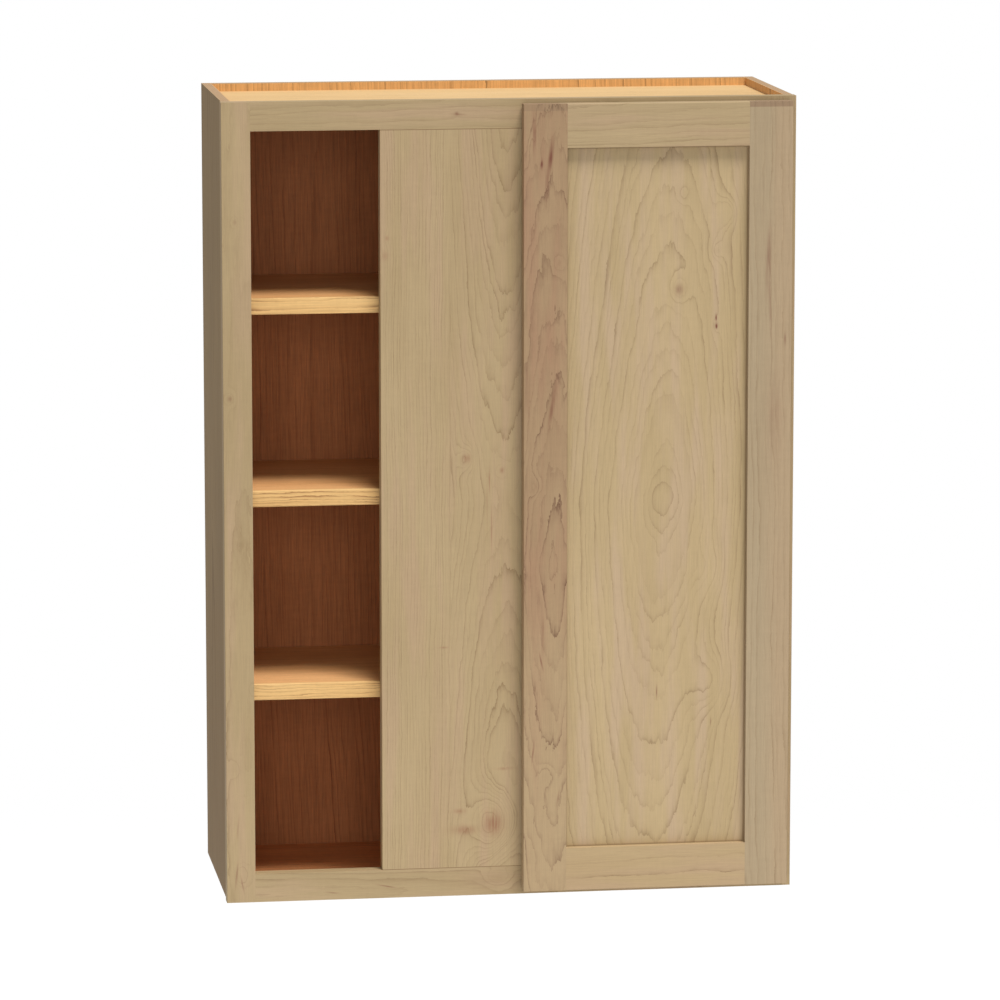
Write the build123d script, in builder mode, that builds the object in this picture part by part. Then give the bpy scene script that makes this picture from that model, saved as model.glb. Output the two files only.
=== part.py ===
from build123d import *
import os

os.makedirs("parts", exist_ok=True)

# Hanging wall cabinet for a kitchen's blind corner, in millimetres.
# X runs to the right, -Y to the front and +Z up. The wall is the plane Y = 0, and the
# origin is midway between the two hanging screws, on the wall.

# ---- Cabinet ----
cabinet_width = 762.0
cabinet_height = 1066.8
cabinet_depth = 304.8
screw_line_drop = 50.8  # from the cabinet's top down to the hanging screws
screw_spacing = 406.4
screw_hole_radius = 2.75

frame_thickness = 19.05
stile_width = 38.1
rail_width = 38.1
open_width = 170.1  # clear width beside the blind panel, where the shelves show
blind_width = 217.3
board_ease = 1.0  # rounding of the worked wooden edges

side_thickness = 12.7
frame_overhang = 1.6  # the face frame stands this far past each side
deck_thickness = 12.7  # the top and bottom panels
top_recess = 10.2
dado_depth = 6.35
back_thickness = 4.8
back_groove_play = 0.1
hanging_rail_thickness = 12.7
hanging_rail_height = 76.2

# ---- Dowels of the face frame ----
dowel_radius = 4.0
dowel_play = 0.05
dowel_length = 48.0
hole_end_gap = 1.0  # free depth past the end of a dowel or a screw
dowel_offset = 9.5  # each side of a rail's middle
blind_dowel_spacing = 68.0

# ---- Shelves ----
shelf_heights = {"upper": 806.5, "middle": 550.5, "lower": 290.5}  # top face, from the base
shelf_thickness = 19.05
shelf_end_gap = 1.5
shelf_back_gap = 1.0
shelf_front_setback = 24.0  # from the face frame's front to the edge strip's front
edge_thickness = 6.0
edge_height = 21.6
pin_row_inset = 37.0  # from the frame's back, and from the back panel
pin_hole_radius = 2.5
pin_hole_depth = 10.0
pin_hole_pitch = 32.0
pin_holes_per_shelf = 5
pin_radius = 2.4
pin_length = 9.0
pin_drop = 6.0  # the pin's axis below the shelf
ledge_width = 14.0
ledge_reach = 11.0
ledge_thickness = 1.6
ledge_web_thickness = 1.2
ledge_web_height = 12.0

# ---- Door ----
door_width = 358.4
door_height = 1054.1
door_thickness = 19.05
door_gap = 3.0  # from the face frame's front to the door's back
door_side_reveal = 8.3
door_bottom_reveal = 7.4
door_stile_width = 57.9
door_rail_width = 57.9
panel_recess = 9.525
panel_thickness = 6.2
groove_width = 6.35
groove_depth = 9.5
panel_insertion = 8.0
tongue_length = 9.3
spacer_length = 20.0
spacer_thickness = 1.3
spacer_width = 5.0
spacer_pitch = 0.6  # spacing of a groove's two spacers, as a share of the panel's side
bumper_radius = 4.5
bumper_thickness = 2.9
bumper_inset = 14.0

# ---- Concealed hinges ----
hinge_end_inset = 95.0  # from the door's ends to the outer hinges
pin_from_edge = 7.5  # hinge axis, from the door's edge
pin_depth = 9.6  # hinge axis, from the door's back face
hinge_pin_radius = 1.1
hinge_pin_play = 0.05
hinge_pin_length = 18.0
hinge_pin_seat_play = 0.02
cup_from_edge = 21.0  # cup's centre, from the door's edge
cup_hole_radius = 17.5
cup_radius = 17.4
cup_depth = 12.6
cup_hole_end_gap = 0.2
well_radius = 16.7
well_half_width = 6.0
well_depth = 11.8
flange_radius = 18.6
flange_thickness = 1.2
flange_wing_width = 12.0
flange_wing_length = 57.0
cup_screw_spacing = 45.0
cup_screw_offset = 9.5
cup_screw_radius = 1.7
cup_screw_length = 12.0
screw_head_radius = 3.4
screw_head_height = 1.2
screw_play = 0.05
drive_radius = 1.3  # the drive recess in a screw's head
drive_depth = 0.8
arm_half_width = 5.0
arm_thickness = 1.2
arm_offset = 1.3  # from the hinge axis to the arm's middle, away from the door's back
arm_bend_radius = 3.0
arm_clearance = 4.7  # from the frame stile's edge to the middle of the arm's leg
arm_leg_end = 15.0  # from the frame's front
eye_radius = 1.9
plate_thickness = 4.1
plate_half_height = 12.0
plate_front = 1.5
plate_back = 17.5
plate_corner = 3.0
plate_screw_offset = 8.4
plate_screw_radius = 1.75
plate_screw_length = 16.0
plate_screw_sink = 1.6
adjuster_radius = 1.5
adjuster_reach = 3.0
adjuster_head_radius = 3.0
adjuster_head_height = 1.3

# ---- Planes and corners worked out from the sizes above ----
base_z = screw_line_drop - cabinet_height
top_z = screw_line_drop
half_width = cabinet_width / 2
frame_front = -cabinet_depth
frame_back = frame_front + frame_thickness
frame_middle = (frame_front + frame_back) / 2
opening_left = -half_width + stile_width
opening_right = half_width - stile_width
opening_base = base_z + rail_width
opening_top = top_z - rail_width
blind_left = opening_left + open_width
blind_right = blind_left + blind_width
side_outer = half_width - frame_overhang
side_inner = side_outer - side_thickness
dado_bottom = side_inner + dado_depth
back_front = -hanging_rail_thickness - back_thickness
deck_top_z = top_z - top_recess
shelf_front = frame_front + shelf_front_setback
shelf_half = side_inner - shelf_end_gap
pin_rows = (frame_back + pin_row_inset, back_front - pin_row_inset)

door_right = half_width - door_side_reveal
door_left = door_right - door_width
door_base = base_z + door_bottom_reveal
door_top = door_base + door_height
door_back = frame_front - door_gap
door_front = door_back - door_thickness
inner_left = door_left + door_stile_width
inner_right = door_right - door_stile_width
inner_base = door_base + door_rail_width
inner_top = door_top - door_rail_width
panel_front = door_front + panel_recess
panel_middle = panel_front + panel_thickness / 2
hinge_heights = (door_base + hinge_end_inset, (door_base + door_top) / 2, door_top - hinge_end_inset)
axis_x = door_right - pin_from_edge
axis_y = door_back - pin_depth
cup_x = door_right - cup_from_edge
cup_screw_x = cup_x - cup_screw_offset
plate_middle = frame_front + (plate_front + plate_back) / 2


def block(low, high, mode=Mode.ADD):
    """A box from its lowest corner to its highest one, in the current part."""
    size = [b - a for a, b in zip(low, high)]
    middle = [(a + b) / 2 for a, b in zip(low, high)]
    with Locations(tuple(middle)):
        Box(*size, mode=mode)


def rod(start, direction, radius, length, mode=Mode.ADD):
    """A round rod, or with Mode.SUBTRACT a round hole, that runs from a point along a direction."""
    with Locations(Plane(origin=start, z_dir=direction).location):
        Cylinder(radius, length, align=(Align.CENTER, Align.CENTER, Align.MIN), mode=mode)


def save(builder, label):
    """Names a finished piece and writes it."""
    builder.part.label = label
    export_step(builder.part, f"parts/{label}.step")


# ---- Case ----
def side_panel(label, side):
    """A plywood side: dado for the top, rabbet for the bottom, groove for the back, rows of pin holes."""
    outer, inner, dado = side * side_outer, side * side_inner, side * dado_bottom
    with BuildPart() as panel:
        block((min(outer, inner), frame_back, base_z), (max(outer, inner), 0, top_z))
        for low_z, high_z in (
            (deck_top_z - deck_thickness, deck_top_z),
            (base_z, base_z + deck_thickness),
        ):
            block(
                (min(inner, dado), frame_back, low_z),
                (max(inner, dado), back_front, high_z),
                mode=Mode.SUBTRACT,
            )
        block(
            (min(inner, dado), back_front - back_groove_play, base_z),
            (max(inner, dado), -hanging_rail_thickness + back_groove_play, top_z),
            mode=Mode.SUBTRACT,
        )
        middle_hole = (pin_holes_per_shelf - 1) / 2
        for height in shelf_heights.values():
            for row_y in pin_rows:
                for hole in range(pin_holes_per_shelf):
                    hole_z = base_z + height - shelf_thickness - pin_drop
                    hole_z += (hole - middle_hole) * pin_hole_pitch
                    rod(
                        (inner, row_y, hole_z),
                        (side, 0, 0),
                        pin_hole_radius,
                        pin_hole_depth,
                        mode=Mode.SUBTRACT,
                    )
    save(panel, label)


side_panel("left_side", -1)
side_panel("right_side", 1)

with BuildPart() as top_panel:
    block(
        (-dado_bottom, frame_back, deck_top_z - deck_thickness),
        (dado_bottom, back_front, deck_top_z),
    )
save(top_panel, "top_panel")

with BuildPart() as bottom_panel:
    block(
        (-dado_bottom, frame_back, base_z),
        (dado_bottom, back_front, base_z + deck_thickness),
    )
save(bottom_panel, "bottom_panel")

with BuildPart() as back_panel:
    block(
        (-dado_bottom, back_front, base_z),
        (dado_bottom, -hanging_rail_thickness, top_z),
    )
    for screw_x in (-screw_spacing / 2, screw_spacing / 2):
        rod(
            (screw_x, back_front, 0),
            (0, 1, 0),
            screw_hole_radius,
            back_thickness,
            mode=Mode.SUBTRACT,
        )
save(back_panel, "back_panel")

with BuildPart() as top_hanging_rail:
    block(
        (-side_inner, -hanging_rail_thickness, top_z - hanging_rail_height),
        (side_inner, 0, top_z),
    )
    for screw_x in (-screw_spacing / 2, screw_spacing / 2):
        rod(
            (screw_x, -hanging_rail_thickness, 0),
            (0, 1, 0),
            screw_hole_radius,
            hanging_rail_thickness,
            mode=Mode.SUBTRACT,
        )
save(top_hanging_rail, "top_hanging_rail")

with BuildPart() as bottom_hanging_rail:
    block(
        (-side_inner, -hanging_rail_thickness, base_z),
        (side_inner, 0, base_z + hanging_rail_height),
    )
save(bottom_hanging_rail, "bottom_hanging_rail")

# ---- Face frame ----
# Each dowel is its middle point and the way it runs: two in each end of each rail, and
# three in each end of the blind panel.
rail_middles = (base_z + rail_width / 2, top_z - rail_width / 2)
dowels = []
for joint_x in (opening_left, opening_right):
    for rail_z in rail_middles:
        for offset in (-dowel_offset, dowel_offset):
            dowels.append(((joint_x, frame_middle, rail_z + offset), (1, 0, 0)))
for joint_z in (opening_base, opening_top):
    for place in (-1, 0, 1):
        dowel_x = (blind_left + blind_right) / 2 + place * blind_dowel_spacing
        dowels.append(((dowel_x, frame_middle, joint_z), (0, 0, 1)))


def dowel_rods(radius, length, mode=Mode.ADD):
    """Every dowel of the face frame, or with Mode.SUBTRACT every dowel hole."""
    for middle, direction in dowels:
        start = [m - d * length / 2 for m, d in zip(middle, direction)]
        rod(tuple(start), direction, radius, length, mode=mode)


def frame_member(label, low_x, high_x, low_z, high_z, eased_x):
    """A face-frame board with its dowel holes, eased along the front vertical edges at eased_x."""
    with BuildPart() as member:
        block((low_x, frame_front, low_z), (high_x, frame_back, high_z))
        fronts = member.edges().filter_by(Axis.Z).group_by(Axis.Y)[0]
        for edge_x in eased_x:
            fillet(fronts.sort_by_distance((edge_x, frame_front, 0))[0], radius=board_ease)
        dowel_rods(dowel_radius + dowel_play, dowel_length + hole_end_gap, mode=Mode.SUBTRACT)
    save(member, label)


frame_member("frame_left_stile", -half_width, opening_left, base_z, top_z, (-half_width,))
frame_member("frame_top_rail", opening_left, opening_right, opening_top, top_z, ())
frame_member("frame_bottom_rail", opening_left, opening_right, base_z, opening_base, ())
frame_member("blind_panel", blind_left, blind_right, opening_base, opening_top, (blind_left,))

with BuildPart() as frame_right_stile:
    block((opening_right, frame_front, base_z), (half_width, frame_back, top_z))
    right_fronts = frame_right_stile.edges().filter_by(Axis.Z).group_by(Axis.Y)[0]
    fillet(right_fronts.sort_by(Axis.X)[-1], radius=board_ease)
    dowel_rods(dowel_radius + dowel_play, dowel_length + hole_end_gap, mode=Mode.SUBTRACT)
    for hinge_z in hinge_heights:
        for screw_z in (hinge_z - plate_screw_offset, hinge_z + plate_screw_offset):
            rod(
                (opening_right, plate_middle, screw_z),
                (1, 0, 0),
                plate_screw_radius + screw_play,
                plate_screw_length,
                mode=Mode.SUBTRACT,
            )
save(frame_right_stile, "frame_right_stile")

with BuildPart() as frame_dowels:
    dowel_rods(dowel_radius, dowel_length)
save(frame_dowels, "frame_dowels")

# ---- Shelves ----
for name, height in shelf_heights.items():
    shelf_top = base_z + height
    with BuildPart() as shelf:
        block(
            (-shelf_half, shelf_front + edge_thickness, shelf_top - shelf_thickness),
            (shelf_half, back_front - shelf_back_gap, shelf_top),
        )
    save(shelf, f"shelf_{name}")
    with BuildPart() as edge_strip:
        block(
            (-shelf_half, shelf_front, shelf_top - edge_height),
            (shelf_half, shelf_front + edge_thickness, shelf_top),
        )
        fillet(edge_strip.edges().filter_by(Axis.X).group_by(Axis.Y)[0], radius=board_ease)
    save(edge_strip, f"shelf_{name}_edge")

with BuildPart() as shelf_pins:
    for height in shelf_heights.values():
        ledge_z = base_z + height - shelf_thickness
        for row_y in pin_rows:
            for side in (-1, 1):
                inner = side * side_inner
                ledge_end = inner - side * ledge_reach
                web_face = inner - side * ledge_web_thickness
                low_y, high_y = row_y - ledge_width / 2, row_y + ledge_width / 2
                block(
                    (min(inner, ledge_end), low_y, ledge_z - ledge_thickness),
                    (max(inner, ledge_end), high_y, ledge_z),
                )
                block(
                    (min(inner, web_face), low_y, ledge_z - ledge_web_height),
                    (max(inner, web_face), high_y, ledge_z - ledge_thickness),
                )
                rod((inner, row_y, ledge_z - pin_drop), (side, 0, 0), pin_radius, pin_length)
save(shelf_pins, "shelf_pins")

# ---- Door ----
groove_low = panel_middle - groove_width / 2
groove_high = panel_middle + groove_width / 2
tongue_low = panel_middle - panel_thickness / 2
tongue_high = panel_middle + panel_thickness / 2

with BuildPart() as door_left_stile:
    block((door_left, door_front, door_base), (inner_left, door_back, door_top))
    fillet(door_left_stile.edges().filter_by(Axis.Z).group_by(Axis.X)[0], radius=board_ease)
    block(
        (inner_left - groove_depth, groove_low, door_base),
        (inner_left, groove_high, door_top),
        mode=Mode.SUBTRACT,
    )
save(door_left_stile, "door_left_stile")

with BuildPart() as door_right_stile:
    block((inner_right, door_front, door_base), (door_right, door_back, door_top))
    fillet(door_right_stile.edges().filter_by(Axis.Z).group_by(Axis.X)[-1], radius=board_ease)
    block(
        (inner_right, groove_low, door_base),
        (inner_right + groove_depth, groove_high, door_top),
        mode=Mode.SUBTRACT,
    )
    for hinge_z in hinge_heights:
        rod(
            (cup_x, door_back, hinge_z),
            (0, -1, 0),
            cup_hole_radius,
            cup_depth + cup_hole_end_gap,
            mode=Mode.SUBTRACT,
        )
        for screw_z in (hinge_z - cup_screw_spacing / 2, hinge_z + cup_screw_spacing / 2):
            rod(
                (cup_screw_x, door_back, screw_z),
                (0, -1, 0),
                cup_screw_radius + screw_play,
                cup_screw_length,
                mode=Mode.SUBTRACT,
            )
save(door_right_stile, "door_right_stile")


def door_rail(label, low_z, high_z, outer_group, groove_z, groove_end):
    """A door rail between the stiles, tongued at its ends and grooved for the panel."""
    with BuildPart() as rail:
        block((inner_left, door_front, low_z), (inner_right, door_back, high_z))
        fillet(rail.edges().filter_by(Axis.X).group_by(Axis.Z)[outer_group], radius=board_ease)
        block(
            (inner_left - tongue_length, tongue_low, low_z),
            (inner_right + tongue_length, tongue_high, high_z),
        )
        block(
            (inner_left - tongue_length, groove_low, min(groove_z, groove_end)),
            (inner_right + tongue_length, groove_high, max(groove_z, groove_end)),
            mode=Mode.SUBTRACT,
        )
    save(rail, label)


door_rail("door_top_rail", inner_top, door_top, -1, inner_top, inner_top + groove_depth)
door_rail("door_bottom_rail", door_base, inner_base, 0, inner_base, inner_base - groove_depth)

panel_low_x = inner_left - panel_insertion
panel_high_x = inner_right + panel_insertion
panel_low_z = inner_base - panel_insertion
panel_high_z = inner_top + panel_insertion

with BuildPart() as door_panel:
    block(
        (panel_low_x, panel_front, panel_low_z),
        (panel_high_x, panel_front + panel_thickness, panel_high_z),
    )
save(door_panel, "door_panel")

with BuildPart() as door_panel_spacers:
    middle_z = (panel_low_z + panel_high_z) / 2
    reach_z = (panel_high_z - panel_low_z) * spacer_pitch / 2
    for spacer_z in (middle_z - reach_z, middle_z + reach_z):
        for spacer_x in (panel_low_x - spacer_thickness, panel_high_x):
            block(
                (spacer_x, panel_middle - spacer_width / 2, spacer_z - spacer_length / 2),
                (
                    spacer_x + spacer_thickness,
                    panel_middle + spacer_width / 2,
                    spacer_z + spacer_length / 2,
                ),
            )
save(door_panel_spacers, "door_panel_spacers")

with BuildPart() as door_bumpers:
    bumper_x = door_left + bumper_inset
    for bumper_z in (door_base + bumper_inset, door_top - bumper_inset):
        rod((bumper_x, door_back, bumper_z), (0, 1, 0), bumper_radius, bumper_thickness)
    fillet(door_bumpers.edges().group_by(Axis.Y)[-1], radius=board_ease)
save(door_bumpers, "door_bumpers")

# ---- Hinges ----
# The plates, arms and their screws stay on the frame's right stile. The cups, their screws
# and the pins turn with the door, and each pin runs in its arm's rolled eye.
leg_x = opening_right - arm_clearance

with BuildPart() as hinge_plates:
    for hinge_z in hinge_heights:
        plate_plane = Plane(
            origin=(opening_right, plate_middle, hinge_z), x_dir=(0, 1, 0), z_dir=(-1, 0, 0)
        )
        with BuildSketch(plate_plane):
            RectangleRounded(plate_back - plate_front, 2 * plate_half_height, plate_corner)
        extrude(amount=plate_thickness)
        plate_face = opening_right - plate_thickness
        rod(
            (plate_face, plate_middle, hinge_z),
            (1, 0, 0),
            adjuster_radius + screw_play,
            adjuster_reach,
            mode=Mode.SUBTRACT,
        )
        for screw_z in (hinge_z - plate_screw_offset, hinge_z + plate_screw_offset):
            screw_start = (plate_face, plate_middle, screw_z)
            rod(
                screw_start,
                (1, 0, 0),
                plate_screw_radius + screw_play,
                plate_thickness,
                mode=Mode.SUBTRACT,
            )
            rod(
                screw_start,
                (1, 0, 0),
                screw_head_radius - screw_play,
                plate_screw_sink,
                mode=Mode.SUBTRACT,
            )
save(hinge_plates, "hinge_plates")

with BuildPart() as hinge_plate_screws:
    for hinge_z in hinge_heights:
        for screw_z in (hinge_z - plate_screw_offset, hinge_z + plate_screw_offset):
            head_x = opening_right - plate_thickness + plate_screw_sink
            shank_length = plate_thickness - plate_screw_sink + plate_screw_length - hole_end_gap
            rod((head_x, plate_middle, screw_z), (1, 0, 0), plate_screw_radius, shank_length)
            rod(
                (head_x, plate_middle, screw_z),
                (-1, 0, 0),
                screw_head_radius - 2 * screw_play,
                screw_head_height,
            )
            rod(
                (head_x - screw_head_height, plate_middle, screw_z),
                (1, 0, 0),
                drive_radius,
                drive_depth,
                mode=Mode.SUBTRACT,
            )
save(hinge_plate_screws, "hinge_plate_screws")

with BuildPart() as hinge_arms:
    for hinge_z in hinge_heights:
        with BuildSketch(Plane.XY.offset(hinge_z - arm_half_width)):
            with BuildLine():
                FilletPolyline(
                    (axis_x, axis_y - arm_offset),
                    (leg_x, axis_y - arm_offset),
                    (leg_x, frame_front + arm_leg_end),
                    radius=arm_bend_radius,
                )
            trace(line_width=arm_thickness)
            with Locations((axis_x, axis_y)):
                Circle(eye_radius)
                Circle(hinge_pin_radius + hinge_pin_play, mode=Mode.SUBTRACT)
        extrude(amount=2 * arm_half_width)
        rod(
            (leg_x - arm_thickness, plate_middle, hinge_z),
            (1, 0, 0),
            adjuster_radius + screw_play,
            2 * arm_thickness,
            mode=Mode.SUBTRACT,
        )
save(hinge_arms, "hinge_arms")

with BuildPart() as hinge_adjusters:
    for hinge_z in hinge_heights:
        arm_face = leg_x - arm_thickness / 2
        rod(
            (arm_face, plate_middle, hinge_z),
            (1, 0, 0),
            adjuster_radius,
            arm_thickness + adjuster_reach - screw_play,
        )
        rod(
            (arm_face, plate_middle, hinge_z),
            (-1, 0, 0),
            adjuster_head_radius,
            adjuster_head_height,
        )
        rod(
            (arm_face - adjuster_head_height, plate_middle, hinge_z),
            (1, 0, 0),
            drive_radius,
            drive_depth,
            mode=Mode.SUBTRACT,
        )
save(hinge_adjusters, "hinge_adjusters")

with BuildPart() as hinge_cups:
    for hinge_z in hinge_heights:
        flange_plane = Plane(origin=(cup_x, door_back, hinge_z), x_dir=(1, 0, 0), z_dir=(0, -1, 0))
        with BuildSketch(flange_plane):
            Circle(flange_radius)
            with Locations((-cup_screw_offset, 0)):
                SlotOverall(flange_wing_length, flange_wing_width, rotation=90)
        extrude(amount=-flange_thickness)
        rod((cup_x, door_back, hinge_z), (0, -1, 0), cup_radius, cup_depth)
        with BuildSketch(flange_plane.offset(-flange_thickness)):
            Circle(well_radius)
            Rectangle(2 * well_radius, 2 * well_half_width, mode=Mode.INTERSECT)
        extrude(amount=flange_thickness + well_depth, mode=Mode.SUBTRACT)
        rod(
            (axis_x, axis_y, hinge_z - hinge_pin_length / 2),
            (0, 0, 1),
            hinge_pin_radius + hinge_pin_seat_play,
            hinge_pin_length,
            mode=Mode.SUBTRACT,
        )
        for screw_z in (hinge_z - cup_screw_spacing / 2, hinge_z + cup_screw_spacing / 2):
            rod(
                (cup_screw_x, door_back, screw_z),
                (0, 1, 0),
                cup_screw_radius + screw_play,
                flange_thickness,
                mode=Mode.SUBTRACT,
            )
save(hinge_cups, "hinge_cups")

with BuildPart() as hinge_pins:
    for hinge_z in hinge_heights:
        rod(
            (axis_x, axis_y, hinge_z - hinge_pin_length / 2),
            (0, 0, 1),
            hinge_pin_radius,
            hinge_pin_length,
        )
save(hinge_pins, "hinge_pins")

with BuildPart() as hinge_cup_screws:
    for hinge_z in hinge_heights:
        for screw_z in (hinge_z - cup_screw_spacing / 2, hinge_z + cup_screw_spacing / 2):
            flange_face = door_back + flange_thickness
            rod(
                (cup_screw_x, flange_face, screw_z),
                (0, -1, 0),
                cup_screw_radius,
                flange_thickness + cup_screw_length - hole_end_gap,
            )
            rod(
                (cup_screw_x, flange_face, screw_z),
                (0, 1, 0),
                screw_head_radius,
                screw_head_height,
            )
            rod(
                (cup_screw_x, flange_face + screw_head_height, screw_z),
                (0, -1, 0),
                drive_radius,
                drive_depth,
                mode=Mode.SUBTRACT,
            )
save(hinge_cup_screws, "hinge_cup_screws")
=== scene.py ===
import math

import bpy
from mathutils import Euler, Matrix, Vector


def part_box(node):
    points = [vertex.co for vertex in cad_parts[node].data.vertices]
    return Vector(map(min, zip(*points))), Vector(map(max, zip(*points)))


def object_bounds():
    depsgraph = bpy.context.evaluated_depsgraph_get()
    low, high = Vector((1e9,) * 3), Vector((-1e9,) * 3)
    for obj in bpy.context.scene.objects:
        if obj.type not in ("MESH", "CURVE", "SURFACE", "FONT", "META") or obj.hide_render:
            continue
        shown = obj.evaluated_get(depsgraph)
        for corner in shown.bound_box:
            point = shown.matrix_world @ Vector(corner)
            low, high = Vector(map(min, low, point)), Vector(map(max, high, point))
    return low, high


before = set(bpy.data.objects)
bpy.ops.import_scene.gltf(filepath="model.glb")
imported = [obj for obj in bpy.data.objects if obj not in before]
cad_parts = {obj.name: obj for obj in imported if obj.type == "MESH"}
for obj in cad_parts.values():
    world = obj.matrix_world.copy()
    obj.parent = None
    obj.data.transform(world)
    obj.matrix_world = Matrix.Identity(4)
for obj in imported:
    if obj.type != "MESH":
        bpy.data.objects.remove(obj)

# A hanging wall cabinet of unfinished maple. The frame is in metres: X to the right, -Y to
# the front, +Z up, with the wall at Y = 0. Grain is worked out in millimetres.
MM = 1000.0
AXES = {"X": 0, "Y": 1, "Z": 2}
cad_low, cad_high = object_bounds()


# ---- Arithmetic on shader nodes ----
# The Mix node has sockets for numbers, vectors and colours. These are the ones for colours.
MIX_SHARE, MIX_FIRST, MIX_SECOND, MIX_RESULT = 0, 6, 7, 2


class Term:
    """A number that varies over a surface. Ordinary arithmetic on it adds Math nodes."""

    def __init__(self, graph, socket):
        self.graph = graph
        self.socket = socket

    def __add__(self, other):
        return self.graph.math("ADD", self, other)

    def __sub__(self, other):
        return self.graph.math("SUBTRACT", self, other)

    def __rsub__(self, other):
        return self.graph.math("SUBTRACT", other, self)

    def __mul__(self, other):
        return self.graph.math("MULTIPLY", self, other)

    def __truediv__(self, other):
        return self.graph.math("DIVIDE", self, other)

    def __pow__(self, other):
        return self.graph.math("POWER", self, other)


class Graph:
    """The shader nodes of one material."""

    def __init__(self, name):
        self.material = bpy.data.materials.new(name)
        self.material.use_nodes = True
        self.tree = self.material.node_tree
        self.tree.nodes.clear()

    def node(self, kind, inputs, **settings):
        """Adds a node, with its inputs, by name or number, set to values or linked to sockets."""
        made = self.tree.nodes.new(kind)
        for setting, value in settings.items():
            setattr(made, setting, value)
        for place, value in inputs.items():
            if isinstance(value, Term):
                value = value.socket
            if isinstance(value, bpy.types.NodeSocket):
                self.tree.links.new(value, made.inputs[place])
            else:
                made.inputs[place].default_value = value
        return made

    def math(self, operation, first, second=0.0):
        """The result of one Math node."""
        made = self.node("ShaderNodeMath", {0: first, 1: second}, operation=operation)
        return Term(self, made.outputs[0])

    def rise(self, value, low, high):
        """0 before low, 1 past high and a smooth step between. It falls where low is above high."""
        limits = {"Value": value, "From Min": low, "From Max": high}
        made = self.node("ShaderNodeMapRange", limits, interpolation_type="SMOOTHSTEP")
        return Term(self, made.outputs["Result"])

    def noise(self, x, y, z, detail=2.0, roughness=0.5):
        """Smooth noise about 0, mostly within half a unit."""
        place = self.node("ShaderNodeCombineXYZ", {"X": x, "Y": y, "Z": z}).outputs[0]
        inputs = {"Vector": place, "Scale": 1.0, "Detail": detail, "Roughness": roughness}
        return (Term(self, self.node("ShaderNodeTexNoise", inputs).outputs[0]) - 0.5) * 2.0

    def chance(self, number):
        """A random number from 0 to 1, the same wherever the given number is the same."""
        made = self.node("ShaderNodeTexWhiteNoise", {"W": number}, noise_dimensions="1D")
        return Term(self, made.outputs["Value"])

    def mix(self, share, first, second):
        """A colour between two others."""
        inputs = {MIX_SHARE: share, MIX_FIRST: opaque(first), MIX_SECOND: opaque(second)}
        return self.node("ShaderNodeMix", inputs, data_type="RGBA").outputs[MIX_RESULT]

    def scale(self, colour, factor):
        """A colour made lighter or darker by a factor."""
        inputs = {0: colour[:3] if isinstance(colour, tuple) else colour, "Scale": factor}
        return self.node("ShaderNodeVectorMath", inputs, operation="SCALE").outputs[0]

    def finish(self, colour, roughness, height, depth_mm, **sockets):
        """Adds the surface shader, with relief depth_mm deep, and returns the material."""
        relief = {"Strength": 1.0, "Distance": depth_mm / MM, "Height": height}
        normal = self.node("ShaderNodeBump", relief).outputs[0]
        inputs = {"Base Color": colour, "Roughness": roughness, "Normal": normal, **sockets}
        surface = self.node("ShaderNodeBsdfPrincipled", inputs)
        self.node("ShaderNodeOutputMaterial", {"Surface": surface.outputs[0]})
        return self.material


def opaque(colour):
    """A colour with full alpha. Sockets pass through."""
    return (*colour[:3], 1.0) if isinstance(colour, tuple) else colour


# ---- Wood ----
# Patterns of noise on a board: the size of their features across the grain and along it in
# millimetres, their detail and their roughness. The fibre's sizes are for fibres 1 mm wide.
PATTERNS = {
    "sway": (110.0, 380.0, 2.0, 0.5),
    "ripple": (13.0, 55.0, 4.0, 0.62),
    "presence": (16.0, 80.0, 3.0, 0.5),
    "fibre": (1.0, 30.0, 4.0, 0.68),
    "curl": (20.0, 4.5, 3.0, 0.5),
    "cloud": (60.0, 330.0, 3.0, 0.5),
    "fleck": (0.9, 10.0, 2.0, 0.5),
    "ragged": (2.2, 26.0, 3.0, 0.5),
    "wash": (30.0, 150.0, 2.0, 0.5),
    "flush": (24.0, 260.0, 2.0, 0.5),
    "speckle": (0.9, 0.9, 3.0, 0.5),
    "drawn": (0.8, 18.0, 3.0, 0.5),
}
# How far boards and patterns lie apart in the noise, so that no two look alike.
SEED_STEP_ACROSS = 7.31
SEED_STEP_ALONG = 3.17
PATTERN_STEP_ACROSS = 13.7
PATTERN_STEP_DEPTH = 5.3


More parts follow.
